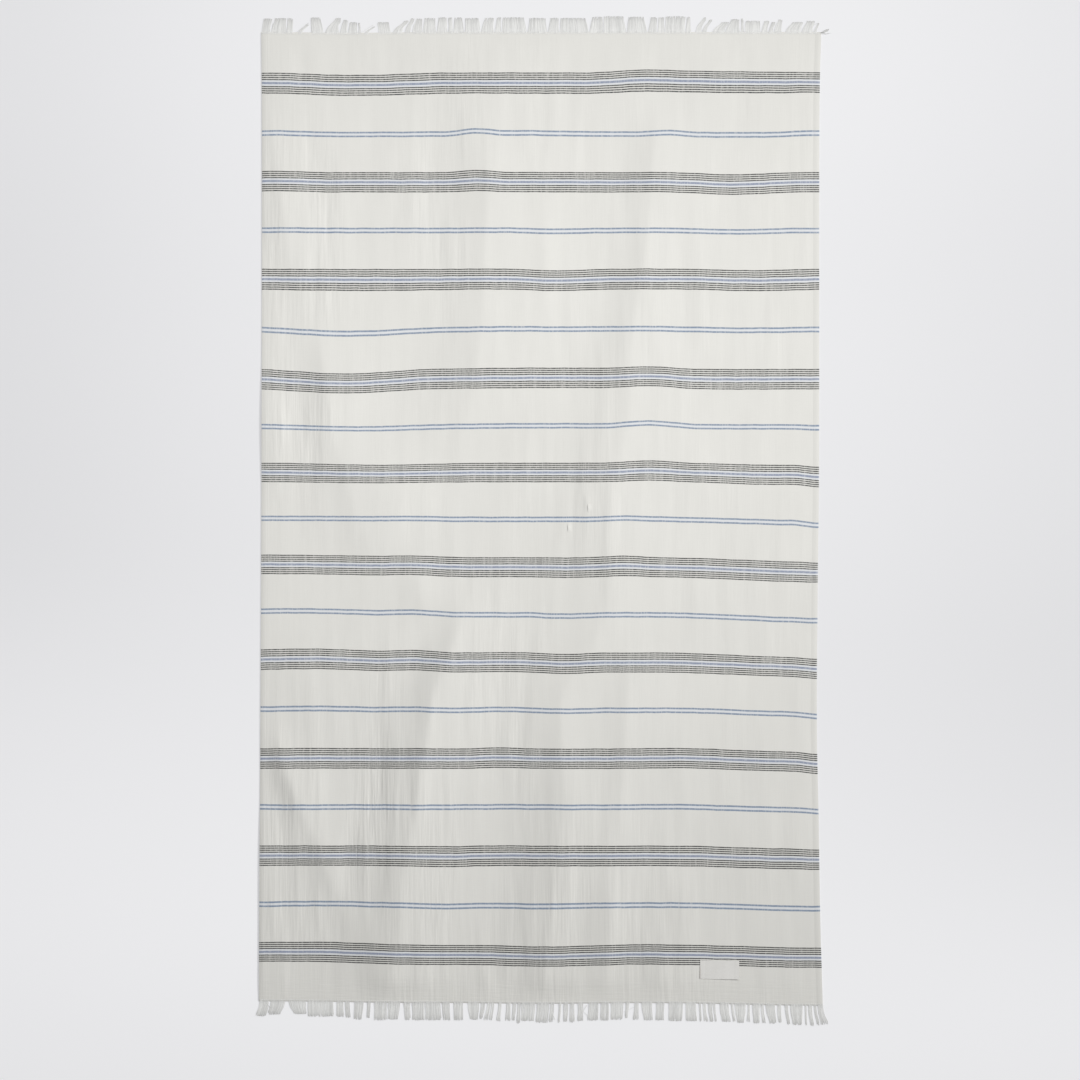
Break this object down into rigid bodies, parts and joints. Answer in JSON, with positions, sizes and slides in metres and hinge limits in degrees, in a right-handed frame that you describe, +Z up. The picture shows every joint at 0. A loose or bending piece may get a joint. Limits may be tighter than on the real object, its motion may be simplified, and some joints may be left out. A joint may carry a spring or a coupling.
{
  "type": "beach towel",
  "caption": "Flat striped cotton beach towel, spread face up with soft creases, with a cut fringe along each end and a small sewn label near one corner.",
  "frame": {"origin": "on the floor, under the middle of the whole towel with its fringes", "axes": "+X to the right selvedge, +Y along the towel to its upper end (the end away from the label), +Z up from the floor, out of the towel's face"},
  "size_m": [1.0255, 1.8059, 0.0098],
  "materials": {
    "cotton": "matt crinkled weave with woven stripes",
    "fringe": "matt loose yarn ends",
    "label": "smooth woven tape"
  },
  "bodies": {
    "root": {"towel_cloth": "cotton", "fringe_top": "fringe", "fringe_bottom": "fringe", "label": "label"}
  },
  "joints": []
}
